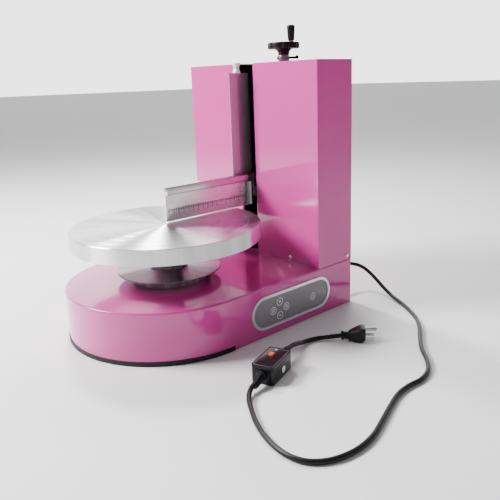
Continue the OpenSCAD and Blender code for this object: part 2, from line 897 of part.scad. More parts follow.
module swept_lead(route) {
    sides = 8;
    path = route_path(route, 2);
    rings = len(path);
    color(black) polyhedron(
        points = [for (i = [0:rings - 1]) each path_ring(path, i, lead_d / 2, sides)],
        faces = concat(
            [[for (k = [0:sides - 1]) k]],
            [for (i = [0:rings - 2], k = [0:sides - 1]) [
                i * sides + k, (i + 1) * sides + k,
                (i + 1) * sides + (k + 1) % sides, i * sides + (k + 1) % sides
            ]],
            [[for (k = [0:sides - 1]) rings * sides - 1 - k]]
        )
    );
}

module mains_lead() {
    swept_lead(mains_route);
}

module plug_lead() {
    swept_lead(plug_route);
}

// Tapered sleeve that keeps the lead from kinking, along +Z from its thick end
module relief_sleeve(len, r_base, r_tip) {
    cylinder(r = r_base + 1.5, h = 2.5);
    cylinder(r1 = r_base, r2 = r_tip, h = len);
}

module cable_gland() {
    color(black) translate([gland_pos.x, back_y, gland_pos.y]) rotate([-90, 0, 0]) {
        translate([0, 0, -8]) cylinder(r = 5.9, h = 8);
        cylinder(r = 10.5, h = 5, $fn = 6);
        relief_sleeve(gland_tip_y - back_y, 7, 4.3);
    }
}

module on_box(z) {
    translate([box_pos.x, box_pos.y, z]) rotate([0, 0, box_turn]) children();
}

module box_plan(inset) {
    r = box_corner_r - inset;
    w = [box_size.x - 2 * inset, box_size.y - 2 * inset];
    square([w.x - 2 * r, w.y], center = true);
    square([w.x, w.y - 2 * r], center = true);
    for (sx = [-1, 1], sy = [-1, 1])
        translate([sx * (w.x / 2 - r), sy * (w.y / 2 - r)]) circle(r);
}

module switch_body() {
    color(black) difference() {
        on_box(0) linear_extrude(lid_z) box_plan(0);
        on_box(box_wall) linear_extrude(lid_z) box_plan(box_wall);
    }
}

module switch_lid() {
    color(black) difference() {
        on_box(lid_z) linear_extrude(box_size.z - lid_z) box_plan(0);
        on_box(lid_z - 1) linear_extrude(box_size.z - lid_z - 1) box_plan(box_wall);
        on_box(lid_z - 1) translate(button_pos)
            linear_extrude(10) square(button_w + 0.6, center = true);
        on_box(lid_z - 1) translate(lens_pos) cylinder(r = 2, h = 10);
    }
}

module reset_button() {
    color("orangered") {
        on_box(12) translate(button_pos)
            linear_extrude(box_size.z + button_proud - 12) square(button_w, center = true);
        on_box(18) translate(button_pos) linear_extrude(1.5) square(button_w + 4, center = true);
    }
}

module indicator_lens() {
    color("mediumaquamarine") on_box(18) translate(lens_pos) {
        cylinder(r = 2, h = box_size.z - 18);
        translate([0, 0, box_size.z - 18]) cylinder(r1 = 2, r2 = 1.2, h = 0.6);
    }
}

module switch_reliefs() {
    color(black) {
        on_box(13) translate([box_size.x / 2, 0, 0]) rotate([0, 104, 0])
            relief_sleeve(relief_len, 6.5, 4.3);
        on_box(15.5) translate([-box_size.x / 2, 0, 0]) rotate([0, -90, 0])
            relief_sleeve(relief_len + 2, 6.5, 4.3);
    }
}

module on_plug(along_x, z) {
    translate([plug_pos.x, plug_pos.y, 0]) rotate([0, 0, plug_turn]) translate([along_x, 0, z]) children();
}

// One rounded cross-section of the plug body, standing across its length
module plug_slice(along_x, width, low, high) {
    r = 3;
    on_plug(along_x, 0) hull()
        for (y = [-1, 1], z = [low + r, high - r])
            translate([0, y * (width / 2 - r), z]) rotate([0, 90, 0]) cylinder(r = r, h = 1.5, $fn = 24);
}

module plug_body() {
    color(black) {
        on_plug(0, 9) rotate([0, 90, 0]) cylinder(r1 = 6, r2 = 7.2, h = 4);
        on_plug(3.9, 9) rotate([0, 90, 0]) cylinder(r1 = 5.4, r2 = 6, h = 8);
        hull() {
            plug_slice(11.5, 14, 2, 16);
            plug_slice(22, 20, 0.3, 20);
        }
        hull() {
            plug_slice(22, 20, 0.3, 20);
            plug_slice(30.5, 25, 0, 23);
            plug_slice(34.5, 24.5, 3.8, 23);
        }
    }
}

// Two flat blades side by side, with the round earth pin above them
module plug_pins() {
    face_along = 36;
    blade = [14.5, 1.5, 6.3];
    blade_gap = 12.7;
    blade_z = earth_pin_z - 11.9;
    earth_r = 2.4;
    earth_len = 15.5;
    color(steel) {
        for (y = [-blade_gap / 2, blade_gap / 2])
            on_plug(face_along, blade_z) translate([0, y - blade.y / 2, -blade.z / 2]) cube(blade);
        on_plug(face_along, earth_pin_z) rotate([0, 90, 0]) {
            cylinder(r = earth_r, h = earth_len);
            translate([0, 0, earth_len]) cylinder(r1 = earth_r, r2 = earth_r - 1, h = 2.5);
        }
    }
}

// ---- nodes ----

base_shell();
base_plate();
front_skid();
rear_feet();
countersunk_screws();
left_column();
right_column();
pan_screws();
back_cover();
slide_frame();
bearing_blocks();
guide_rods();
panel_bezel();
panel_face();
control_board();
power_supply();
drive_motor();
motor_bracket();
drive_belt();
spindle_housing();
bearing_outer_rings();
lock_collar();
cake_plate();
plate_adapter();
small_plate();
collar_ring();
spindle();
bearing_inner_rings();
spindle_pulley();
motor_shaft();
motor_pulley();
arm_bar();
arm_tongue();
level_blade();
blade_clamp();
carriage();
lead_nut();
lead_screw();
handwheel();
handle_pin();
handle_grip();
lock_lever();
side_blade();
side_knob();
side_carrier();
key(key_mode_pos);  // key_mode
key(key_faster_pos);  // key_faster
key(key_slower_pos);  // key_slower
key(key_start_pos);  // key_start
key(key_power_pos);  // key_power
cable_gland();
mains_lead();
switch_body();
switch_lid();
reset_button();
indicator_lens();
switch_reliefs();
plug_lead();
plug_body();
plug_pins();
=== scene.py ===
"""Looks for the cake-cream spreading machine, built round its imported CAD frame.

Shapes are worked out in millimetres, in the CAD's own frame, and scaled to metres once.
"""

import json
import math

import bmesh
import bpy
from mathutils import Matrix, Vector

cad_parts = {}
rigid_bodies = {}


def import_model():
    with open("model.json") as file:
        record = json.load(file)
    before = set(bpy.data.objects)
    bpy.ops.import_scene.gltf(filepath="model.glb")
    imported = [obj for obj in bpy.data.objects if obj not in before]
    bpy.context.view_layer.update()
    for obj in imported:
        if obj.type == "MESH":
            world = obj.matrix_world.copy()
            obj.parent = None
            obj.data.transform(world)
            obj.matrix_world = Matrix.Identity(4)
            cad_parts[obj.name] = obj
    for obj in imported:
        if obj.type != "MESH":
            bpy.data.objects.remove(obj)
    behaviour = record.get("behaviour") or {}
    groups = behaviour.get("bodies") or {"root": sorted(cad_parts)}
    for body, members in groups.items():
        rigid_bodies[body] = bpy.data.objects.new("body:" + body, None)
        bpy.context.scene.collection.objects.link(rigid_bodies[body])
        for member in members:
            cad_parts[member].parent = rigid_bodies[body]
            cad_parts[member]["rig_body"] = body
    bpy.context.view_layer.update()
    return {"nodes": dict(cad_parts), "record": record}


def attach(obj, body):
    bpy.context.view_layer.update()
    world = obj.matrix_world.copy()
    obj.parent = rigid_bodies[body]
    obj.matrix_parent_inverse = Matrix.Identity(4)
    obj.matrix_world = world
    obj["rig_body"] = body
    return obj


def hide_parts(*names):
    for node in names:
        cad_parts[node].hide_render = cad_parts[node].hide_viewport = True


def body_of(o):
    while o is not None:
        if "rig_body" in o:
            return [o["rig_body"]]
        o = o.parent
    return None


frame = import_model()
NODES = frame["nodes"]

MM = 0.001
TURNTABLE = (0, -53)
SCREW_AXIS = (48, 176)


def srgb(red, green, blue):
    """A linear colour from the three 0 to 255 values of a colour picker."""
    def linear(value):
        part = value / 255
        return part / 12.92 if part <= 0.04045 else ((part + 0.055) / 1.055) ** 2.4

    return (linear(red), linear(green), linear(blue), 1)


# ---- camera, floor and light ----


def place_camera():
    """Stands the camera at the machine's front right corner, looking a little down at it."""
    stand = (0.7841, -0.5698, 0.3872)
    right = Vector((0.6812, 0.7314, -0.0327))
    back = Vector((0.7152, -0.6554, 0.2429))
    data = bpy.data.cameras.new("camera")
    data.lens = 42.55
    data.shift_x = -0.0172
    data.shift_y = -0.0433
    camera = bpy.data.objects.new("camera", data)
    turn = Matrix((right, back.cross(right), back)).transposed().to_4x4()
    camera.matrix_world = Matrix.Translation(stand) @ turn
    bpy.context.scene.collection.objects.link(camera)
    bpy.context.scene.camera = camera


def softbox(name, place, target, size, power):
    """A rectangular studio light at a place, facing a target point."""
    data = bpy.data.lights.new(name, "AREA")
    data.shape = "RECTANGLE"
    data.size, data.size_y = size
    data.energy = power
    light = bpy.data.objects.new(name, data)
    light.location = place
    light.rotation_euler = (Vector(target) - Vector(place)).to_track_quat("-Z", "Y").to_euler()
    bpy.context.scene.collection.objects.link(light)


def light_studio():
    """Soft lights from the front left to the back left, in a room brightest at its low back left."""
    brightest = (-0.84, 0.54, -0.45)
    softbox("key_light", (-1.0, -1.15, 1.35), (0, 0, 0.2), (0.75, 0.6), 100)
    softbox("top_light", (-0.85, 0.3, 1.45), (0, 0, 0.15), (0.2, 0.2), 26)
    softbox("back_light", (-0.7, 1.05, 1.5), (0, -0.05, 0.15), (0.7, 0.35), 11)
    world = bpy.data.worlds.new("studio")
    world.use_nodes = True
    nodes = world.node_tree.nodes
    links = world.node_tree.links
    background = nodes["Background"]
    coords = nodes.new("ShaderNodeTexCoord")
    facing = nodes.new("ShaderNodeVectorMath")
    facing.operation = "DOT_PRODUCT"
    facing.inputs[1].default_value = brightest
    ramp = nodes.new("ShaderNodeMapRange")
    ramp.interpolation_type = "SMOOTHSTEP"
    for socket, value in {"From Min": 0.2, "From Max": 0.85, "To Min": 0.3, "To Max": 3.3}.items():
        ramp.inputs[socket].default_value = value
    links.new(coords.outputs["Generated"], facing.inputs[0])
    links.new(facing.outputs["Value"], ramp.inputs["Value"])
    links.new(ramp.outputs[0], background.inputs["Strength"])
    background.inputs["Color"].default_value = (1, 1, 1, 1)
    bpy.context.scene.world = world


# ---- materials ----


class Finish:
    """A material being made: its node tree, its main shader and short ways to add nodes."""

    def __init__(self, name, values):
        self.material = bpy.data.materials.new(name)
        self.material.use_nodes = True
        self.tree = self.material.node_tree
        self.shader = self.tree.nodes["Principled BSDF"]
        for socket, value in values.items():
            self.shader.inputs[socket].default_value = value
        self.place = self.add("TexCoord").outputs["Object"]

    def add(self, kind, inputs=None, **settings):
        """A node of a kind, with its settings, and its inputs given as values or as sockets."""
        node = self.tree.nodes.new("ShaderNode" + kind)
        for key, value in settings.items():
            setattr(node, key, value)
        for key, value in (inputs or {}).items():
            if isinstance(value, bpy.types.NodeSocket):
                self.tree.links.new(value, node.inputs[key])
            else:
                node.inputs[key].default_value = value
        return node

    def stretched(self, scale):
        """The place on the object, scaled along each axis."""
        return self.add("Mapping", {"Vector": self.place, "Scale": scale}).outputs[0]

    def noise(self, scale, detail=3, place=None):
        """Soft blotches, this many to the metre."""
        inputs = {"Vector": place or self.place, "Scale": scale, "Detail": detail}
        return self.add("TexNoise", inputs).outputs["Fac"]

    def spread(self, value, low, high):
        """Stretches a 0.3 to 0.7 value over low to high."""
        inputs = {"Value": value, "From Min": 0.3, "From Max": 0.7, "To Min": low, "To Max": high}
        return self.add("MapRange", inputs).outputs[0]

    def blend(self, value, first, second):
        """A colour between two, at a place given by a value."""
        node = self.add("Mix", data_type="RGBA")
        self.tree.links.new(value, node.inputs[0])
        node.inputs[6].default_value = first
        node.inputs[7].default_value = second
        return node.outputs[2]

    def math(self, operation, first, second=0.0):
        """A sum, product or other reckoning of two values."""
        return self.add("Math", {0: first, 1: second}, operation=operation).outputs[0]

    def give(self, socket, value):
        """Feeds a value or colour to one of the shader's inputs."""
        self.tree.links.new(value, self.shader.inputs[socket])

    def bump(self, height, depth):
        """Raises the surface by a height pattern, depth in millimetres."""
        inputs = {"Height": height, "Distance": depth * MM, "Strength": 1.0}
        self.give("Normal", self.add("Bump", inputs).outputs[0])

    def from_axis(self, centre):
        """The level vector from an upright axis through a centre given in millimetres."""
        shift = (-centre[0] * MM, -centre[1] * MM, 0)
        moved = self.add("VectorMath", {0: self.place, 1: shift}, operation="ADD").outputs[0]
        return self.add("VectorMath", {0: moved, 1: (1, 1, 0)}, operation="MULTIPLY").outputs[0]


def pink_paint():
    """Glossy powder coat with a faint orange peel."""
    finish = Finish("pink_paint", {"Coat Weight": 0.62, "Coat Roughness": 0.03, "IOR": 1.4})
    patches = finish.noise(9)
    colour = finish.blend(patches, srgb(206, 66, 152), srgb(200, 61, 146))
    finish.give("Base Color", colour)
    finish.give("Roughness", finish.spread(finish.noise(120), 0.14, 0.22))
    finish.bump(finish.noise(700, 2), 0.012)
    return finish.material


def satin_black(name, shade, roughness, grain, depth=0.002):
    """Black paint or plastic with a fine grain; grain is the number of bumps to the metre."""
    finish = Finish(name, {"Specular IOR Level": 0.22})
    lighter = tuple(part * 1.2 for part in shade[:3]) + (1,)
    finish.give("Base Color", finish.blend(finish.noise(40), shade, lighter))
    finish.give("Roughness", finish.spread(finish.noise(120), roughness - 0.02, roughness + 0.03))
    finish.bump(finish.noise(grain, 2), depth)
    return finish.material


def ground_metal(name, shade, roughness, stretch, depth=0.0006):
    """Bare metal with fine scratches that run along the axis where stretch is small."""
    finish = Finish(name, {"Metallic": 1.0})
    lines = finish.noise(1, 4, finish.stretched(stretch))
    darker = tuple(part * 0.94 for part in shade[:3]) + (1,)
    finish.give("Base Color", finish.blend(lines, darker, shade))
    finish.give("Roughness", finish.spread(lines, roughness - 0.03, roughness + 0.04))
    finish.bump(lines, depth)
    return finish.material


def turned_metal(name, light, dark, roughness):
    """Metal turned on a lathe: fine rings round the turntable's axis, under painted highlight wedges
    and painted reflection bands that vary round it.
    """
    finish = Finish(name, {"Metallic": 1.0, "Anisotropic": 1.0, "Anisotropic Rotation": 0.25})
    tangent = finish.add("Tangent", direction_type="RADIAL", axis="Z").outputs[0]
    finish.give("Tangent", tangent)
    outwards = finish.from_axis(TURNTABLE)
    radius = finish.add("VectorMath", {0: outwards}, operation="LENGTH").outputs["Value"]
    turns = finish.math("MULTIPLY", radius, 1 / (0.9 * MM))
    rings = finish.add("TexNoise", {"W": turns, "Scale": 1.0, "Detail": 2}, noise_dimensions="1D")
    heading = finish.add("VectorMath", {0: outwards}, operation="NORMALIZE").outputs[0]
    # Colour by direction round the axis: painted highlight wedges on tops and painted reflection bands
    # on rims, mixed with the real turning rings.
    painted_wedges = finish.noise(7, 4, heading)
    rings_and_painted_wedges = finish.math("ADD", finish.math("MULTIPLY", painted_wedges, 0.6),
                       finish.math("MULTIPLY", rings.outputs["Fac"], 0.4))
    finish.give("Base Color", finish.blend(finish.spread(rings_and_painted_wedges, 0, 1), dark, light))
    finish.give("Roughness", finish.spread(finish.noise(12), roughness, roughness + 0.04))
    return finish.material


def panel_film():
    """Fine-grained plastic film of the control panel."""
    finish = Finish("panel_grey", {"Coat Weight": 0.35, "Coat Roughness": 0.12})
    finish.give("Base Color", finish.blend(finish.noise(25), srgb(124, 120, 131), srgb(132, 128, 138)))
    finish.give("Roughness", finish.spread(finish.noise(1500, 2), 0.32, 0.46))
    finish.bump(finish.noise(2500, 1), 0.006)
    return finish.material


def plain_plastic(name, shade, roughness, coat=0.4):
    """Moulded plastic with a slight unevenness in its colour and gloss."""
    finish = Finish(name, {"Coat Weight": coat, "Coat Roughness": 0.08})
    darker = tuple(part * 0.88 for part in shade[:3]) + (1,)
    finish.give("Base Color", finish.blend(finish.noise(60), darker, shade))
    finish.give("Roughness", finish.spread(finish.noise(300), roughness, roughness + 0.1))
    finish.bump(finish.noise(800, 2), 0.008)
    return finish.material


def clear_lens():
    """Tinted lens that lets some light in."""
    finish = Finish("green_lens", {"Subsurface Weight": 0.3, "Coat Weight": 1.0, "Roughness": 0.12})
    glow = finish.blend(finish.noise(400), srgb(120, 205, 175), srgb(150, 225, 195))
    finish.give("Base Color", glow)
    finish.bump(finish.noise(900), 0.01)
    return finish.material


def circuit_board():
    """Green solder mask with paler copper tracks under it."""
    finish = Finish("circuit_board", {"Coat Weight": 0.6})
    tracks = finish.add("TexBrick", {"Vector": finish.place, "Scale": 90.0})
    tracks.inputs["Color1"].default_value = srgb(24, 92, 52)
    tracks.inputs["Color2"].default_value = srgb(28, 100, 58)
    tracks.inputs["Mortar"].default_value = srgb(60, 140, 86)
    finish.give("Base Color", tracks.outputs["Color"])
    finish.give("Roughness", finish.spread(finish.noise(200), 0.3, 0.45))
    return finish.material


def make_finishes():
    """Every material, by the name of the record's slot."""
    return {
        "pink_paint": pink_paint(),
        "black_paint": satin_black("black_paint", srgb(20, 18, 21), 0.3, 900),
        "zinc_steel": ground_metal("zinc_steel", srgb(196, 199, 204), 0.36, (220, 220, 40)),
        "black_rubber": satin_black("black_rubber", srgb(28, 28, 30), 0.5, 1400),
        "screw_steel": ground_metal("screw_steel", srgb(205, 205, 208), 0.25, (500, 500, 500)),
        "machined_steel": ground_metal("machined_steel", srgb(198, 200, 204), 0.22, (90, 90, 900)),
        "cast_aluminium": ground_metal("cast_aluminium", srgb(214, 214, 217), 0.34, (260, 260, 260)),
        "turned_aluminium": turned_metal(
            "turned_aluminium", srgb(246, 246, 247), srgb(196, 196, 200), 0.27),
        "bright_trim": ground_metal("bright_trim", srgb(224, 224, 227), 0.3, (300, 40, 600)),
        "panel_grey": panel_film(),
        "circuit_board": circuit_board(),
        "blade_steel": ground_metal("blade_steel", srgb(206, 204, 204), 0.24, (2200, 40, 2200), 0.0001),
        "nut_brass": ground_metal("nut_brass", srgb(214, 182, 98), 0.25, (300, 300, 900)),
        "black_plastic": satin_black("black_plastic", srgb(17, 16, 17), 0.34, 700),
        "white_plastic": plain_plastic("white_plastic", srgb(238, 238, 240), 0.12, 1.0),
        "lead_black": satin_black("lead_black", srgb(17, 17, 20), 0.38, 1200),
        "switch_black": satin_black("switch_black", srgb(16, 15, 17), 0.16, 900, 0.0006),
        "orange_plastic": plain_plastic("orange_plastic", srgb(238, 92, 36), 0.2),
        "green_lens": clear_lens(),
        "pin_metal": ground_metal("pin_metal", srgb(186, 184, 178), 0.28, (300, 300, 300)),
    }


FINISHES = make_finishes()
SLOT_OF = {part["node"]: part["material_slot"] for part in frame["record"]["subparts"]}
# A darker, pink-tinted copy of the turned aluminium for the small plate and the adapter: painted shade
# under the cake plate and a painted pink reflection of the base.
PAINTED_SHADE_DISC = turned_metal("painted_shade_disc", srgb(170, 158, 165), srgb(122, 110, 118), 0.26)
OWN_FINISH = {
    "small_plate": PAINTED_SHADE_DISC,
    # The collar ring's bright and dark patches round it and its pink tint are painted highlights and
    # painted reflections of the pink base.
    "collar_ring": turned_metal("painted_glint_ring", srgb(240, 230, 236), srgb(96, 84, 92), 0.14),
    "plate_adapter": PAINTED_SHADE_DISC,
    "side_blade": ground_metal("side_sheet", srgb(196, 180, 192), 0.46, (500, 500, 20), 0.0002),
    # The ruler is a brighter copy of the blade steel: painted light on a blade face that the lamps
    # leave in shade.
    "level_blade": ground_metal("painted_light_ruler_steel", srgb(240, 239, 235), 0.27, (2200, 40, 2200), 0.0001),
    "blade_clamp": ground_metal("clamp_metal", srgb(150, 152, 150), 0.3, (300, 300, 300)),
    # The lock collar is a darker, pink-tinted copy of bare metal: painted shade and a painted pink
    # reflection of the paint around it.
    "lock_collar": ground_metal("painted_shade_collar_metal", srgb(150, 130, 140), 0.26, (90, 90, 900)),
}


def finish_of(node):
    """The material of a CAD node: its own, or the one of its slot."""
    return OWN_FINISH.get(node, FINISHES[SLOT_OF[node]])


# ---- making pieces ----


def adopt(piece, body, finish, replaces=()):
    """Gives a piece its material and the CAD body it moves with."""
    piece.data.materials.clear()
    piece.data.materials.append(FINISHES[finish] if isinstance(finish, str) else finish)
    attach(piece, body)
    if replaces:
        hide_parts(*replaces)
    return piece


def add_piece(name, shape, body, finish, replaces=(), place=None):
    """Makes a piece from a shape's points and faces, in millimetres."""
    points, faces = shape
    skin = bmesh.new()
    corners = [skin.verts.new(Vector(point)) for point in points]
    for face in faces:
        skin.faces.new([corners[i] for i in face])
    bmesh.ops.recalc_face_normals(skin, faces=skin.faces)
    bmesh.ops.transform(skin, matrix=Matrix.Scale(MM, 4) @ (place or Matrix()), verts=skin.verts)
    return piece_of(name, skin, body, finish, replaces)


def piece_of(name, skin, body, finish, replaces, sharp=35):
    """Turns a finished bmesh in metres into a piece, smooth but for edges over sharp degrees."""
    mesh = bpy.data.meshes.new(name)
    skin.to_mesh(mesh)
    skin.free()
    mesh.shade_smooth()
    mesh.set_sharp_from_angle(angle=math.radians(sharp))
    piece = bpy.data.objects.new(name, mesh)
    bpy.context.scene.collection.objects.link(piece)
    return adopt(piece, body, finish, replaces)


def body_of_node(node):
    """The name of the body that a CAD node belongs to."""
    return body_of(NODES[node])[0]


def soften(node, width):
    """Shows a CAD node with its sharp edges rounded off by a width in millimetres."""
    flat_turn, sharp_turn = math.radians(0.5), math.radians(32)
    skin = bmesh.new()
    skin.from_mesh(NODES[node].data)
    bmesh.ops.remove_doubles(skin, verts=skin.verts, dist=1e-6)
    bmesh.ops.dissolve_limit(skin, angle_limit=flat_turn, verts=skin.verts, edges=skin.edges)
    sharp = [
        edge for edge in skin.edges
        if len(edge.link_faces) == 2 and edge.calc_face_angle(0) > sharp_turn
    ]
    bmesh.ops.bevel(
        skin, geom=sharp, offset=width * MM, segments=2, profile=0.5,
        affect="EDGES", clamp_overlap=True,
    )
    piece = piece_of(node + "_rounded", skin, body_of_node(node), finish_of(node), [node], sharp=40)


def lathe(profile, segments=48):
    """A profile of (radius, height) pairs turned round the Z axis."""
    points, faces, rows = [], [], []
    for radius, height in profile:
        count = segments if radius > 0 else 1
        rows.append(range(len(points), len(points) + count))
        for k in range(count):
            turn = math.tau * k / segments
            points.append((radius * math.cos(turn), radius * math.sin(turn), height))
    for low, high in zip(rows, rows[1:]):
        for k in range(segments):
            n = (k + 1) % segments
            ring = (low[k % len(low)], low[n % len(low)], high[n % len(high)], high[k % len(high)])
            face = list(dict.fromkeys(ring))
            if len(face) > 2:
                faces.append(face)
    return points, faces


def loft(loops):
    """A skin through loops of equal length, closed at both ends."""
    count = len(loops[0])
    points = [point for loop in loops for point in loop]
    faces = [list(range(count)), list(range(len(points) - count, len(points)))]
    for row in range(len(loops) - 1):
        for k in range(count):
            a, b = row * count + k, row * count + (k + 1) % count
            faces.append([a, b, b + count, a + count])
    return points, faces


def rounded_rectangle(width, depth, corner, steps=6):
    """Corner points of a centred rectangle with rounded corners."""
    points = []
    for k, (sx, sy) in enumerate([(1, 1), (-1, 1), (-1, -1), (1, -1)]):
        for i in range(steps + 1):
            turn = math.radians(90 * (k + i / steps))
            points.append((
                sx * (width / 2 - corner) + corner * math.cos(turn),
                sy * (depth / 2 - corner) + corner * math.sin(turn),
            ))
    return points


def stacked(width, depth, corner, layers):
    """A rounded block built up from layers of (inset, height)."""
    loops = []
    for inset, height in layers:
        radius = max(0.2, corner - inset)
        outline = rounded_rectangle(width - 2 * inset, depth - 2 * inset, radius)
        loops.append([(x, y, height) for x, y in outline])
    return loft(loops)


def joined(*shapes):
    """Several shapes as one list of points and faces."""
    points, faces = [], []
    for shape_points, shape_faces in shapes:
        start = len(points)
        points += shape_points
        faces += [[start + i for i in face] for face in shape_faces]
    return points, faces


def moved(shape, matrix):
    """A shape carried by a matrix."""
    points, faces = shape
    return [matrix @ Vector(point) for point in points], faces


def at(x, y, z, turn=0, axis="Z"):
    """A place in the CAD's frame, turned about an axis by degrees."""
    return Matrix.Translation((x, y, z)) @ Matrix.Rotation(math.radians(turn), 4, axis)


# ---- leads ----

LEAD_DIAMETER = 6.6
LEAD_SIDES = 20
MAINS_ROUTE = [
    (112, 250, 50), (112, 256, 50), (114, 266, 49), (120.5, 275.5, 47), (130, 282, 44.5),
    (142, 284.5, 40), (158, 284, 32), (176, 281, 22), (194, 277, 13), (212, 272, 6.6),
    (232, 264, 4), (250, 254, 3.5), (275, 236, 3.4), (299, 215, 3.4), (320, 189, 3.4),
    (339, 160, 3.4), (360, 131, 3.4), (386, 103, 3.4), (402, 79, 3.4), (409, 52, 3.4),
    (407, 26, 3.4), (409, 0, 3.4), (419, -32, 3.4), (430, -63, 3.4), (440, -94, 3.4),
    (443, -126, 3.4), (436, -157, 3.4), (419, -178, 3.4), (394, -185, 3.4),
    (362, -180, 3.4), (330, -167, 3.5), (303, -151, 3.8), (285, -138.5, 4.8),
    (273, -125, 7), (268.3, -113, 9.6),
]
PLUG_ROUTE = [
    (238, -21.4, 15.5), (233.5, -8, 14.5), (229, 8, 11), (225, 24, 6.4), (224, 40, 4),
    (229, 54, 4), (241, 66, 6), (256, 78.4, 9),
]


def curve_point(a, b, c, d, t):
    """Point on a smooth curve through four points, t from 0 to 1 between b and c."""
    return 0.5 * (
        2 * b + (c - a) * t + (2 * a - 5 * b + 4 * c - d) * t ** 2
        + (3 * b - a - 3 * c + d) * t ** 3
    )


def smooth_path(route, steps):
    """Points along the smooth curve through a route, steps to each stretch of it."""
    stops = [Vector(stop) for stop in route]
    last = len(stops) - 1
    path = []
    for i in range(last):
        around = stops[max(i - 1, 0)], stops[i], stops[i + 1], stops[min(i + 2, last)]
        path += [curve_point(*around, step / steps) for step in range(steps)]
    return path + [stops[last]]


def swept(path, radius):
    """A round tube along a path."""
    loops = []
    for i, centre in enumerate(path):
        ahead = (path[min(i + 1, len(path) - 1)] - path[max(i - 1, 0)]).normalized()
        across = Vector((0, 0, 1)).cross(ahead).normalized()
        up = ahead.cross(across)
        loops.append([
            centre + radius * (math.cos(turn) * across + math.sin(turn) * up)
            for turn in (math.tau * k / LEAD_SIDES for k in range(LEAD_SIDES))
        ])
    return loft(loops)


def make_lead(node, route):
    """One length of the mains lead."""
    path = smooth_path(route, 5)
    lead = add_piece(node + "_cord", swept(path, LEAD_DIAMETER / 2), "machine", "lead_black", [node])


def relief_shape(length, base, tip, ribs=7):
    """A tapered rubber sleeve with grooves round it, along +Z from its thick end."""
    profile = [(0, -1), (base + 1.2, -1), (base + 1.5, 0.4), (base + 1.5, 2.1), (base + 1.1, 2.5)]
    pitch = (length - 4) / ribs
    for k in range(ribs):
        start = 3 + k * pitch
        for along, dip in [(0, 1.0), (0.25, 1.0), (0.34, 0), (0.9, 0), (0.98, 1.0)]:
            height = start + along * pitch
            profile.append((base + (tip - base) * height / length - dip, height))
    profile += [(tip - 0.1, length - 1), (tip - 0.4, length), (0, length)]
    return lathe(profile, 32)


# ---- switch box and plug ----

BOX = at(255, -69.5, 0, -70.5)
BOX_SIZE = (58, 33)
BOX_CORNER = 4
LID_Z = 21.5
BOX_TOP = 27
BUTTON = (-5.5, -2.5)
LENS = (-21.5, -2.5)
STICKER = at(-2.7, BOX_SIZE[1] / 2 + 0.05, 10.5, -90, "X")
MAINS_SLEEVE = at(BOX_SIZE[0] / 2, 0, 13, 104, "Y")
PLUG_SLEEVE = at(-BOX_SIZE[0] / 2, 0, 15.5, -90, "Y")
GLAND = at(112, 219, 50, -90, "X")
PLUG = at(254.5, 77, 0, 42.5)
PLUG_FACE_X = 36
EARTH_PIN_Z = 19.3
PRONG_Z = 7.4
PRONG_SPACING = 12.7
PRONG_THICK = 1.5


def make_switch_box():
    """The box on the lead: body, lid with a raised rim, square button and lens."""
    body = stacked(*BOX_SIZE, BOX_CORNER, [
        (1.4, 0), (0.4, 0.5), (0, 1.5), (0, LID_Z - 0.5), (0.5, LID_Z - 0.05), (2, LID_Z - 0.05),
    ])
    lid = stacked(*BOX_SIZE, BOX_CORNER, [
        (2, LID_Z), (0.5, LID_Z), (0, LID_Z + 0.5), (0, BOX_TOP - 1.6), (0.35, BOX_TOP - 0.5),
        (1.3, BOX_TOP), (2.1, BOX_TOP), (2.4, BOX_TOP - 0.5), (3, BOX_TOP - 0.6),
    ])
    pieces = [
        add_piece("switch_box_body", body, "machine", "switch_black", ["switch_body"], place=BOX),
        add_piece("switch_box_lid", lid, "machine", "switch_black", ["switch_lid"], place=BOX),
    ]
    button = stacked(7, 7, 0.8, [
        (0, 12), (0, BOX_TOP + 1.9), (0.3, BOX_TOP + 2.4), (0.9, BOX_TOP + 2.6), (2.2, BOX_TOP + 2.5),
    ])
    pieces.append(add_piece(
        "reset_button_cap", button, "reset", "orange_plastic", ["reset_button"],
        place=BOX @ at(*BUTTON, 0),
    ))
    lens = lathe([(0, 18), (2, 18), (2, BOX_TOP), (1.7, BOX_TOP + 0.35), (1, BOX_TOP + 0.58),
                  (0, BOX_TOP + 0.6)], 24)
    pieces.append(add_piece(
        "indicator_lens_dome", lens, "machine", "green_lens", ["indicator_lens"],
        place=BOX @ at(*LENS, 0),
    ))
    sticker = lathe([(0, 0), (4.8, 0), (4.8, 0.12), (0, 0.12)], 32)
    pieces.append(add_piece(
        "box_sticker", sticker, "machine", "white_plastic", place=BOX @ STICKER,
    ))
    sleeves = joined(
        moved(relief_shape(22, 6.5, 4.3), MAINS_SLEEVE),
        moved(relief_shape(24, 6.5, 4.3), PLUG_SLEEVE),
    )
    pieces.append(add_piece(
        "switch_relief_sleeves", sleeves, "machine", "lead_black", ["switch_reliefs"], place=BOX,
    ))
    return pieces


def make_gland():
    """The gland that holds the lead at the back wall."""
    nut = stacked_hexagon(10.5, [(0.8, 0), (0, 0.8), (0, 4.2), (0.8, 5)])
    sleeve = relief_shape(34, 7, 4.3, 9)
    barrel = lathe([(0, -8), (5.9, -8), (5.9, 0), (0, 0)], 32)
    return add_piece(
        "cable_gland_sleeve", joined(nut, sleeve, barrel), "machine", "lead_black",
        ["cable_gland"], place=GLAND,
    )


def stacked_hexagon(radius, layers):
    """A six-sided nut from layers of (inset, height)."""
    return loft([
        [((radius - inset) * math.cos(math.radians(60 * k)),
          (radius - inset) * math.sin(math.radians(60 * k)), height) for k in range(6)]
        for inset, height in layers
    ])


def plug_loop(along, width, low, high, corner):
    """One rounded cross-section of the plug, standing across it."""
    middle = (low + high) / 2
    return [
        (along, y, middle + z)
        for y, z in rounded_rectangle(width, high - low, corner)
    ]


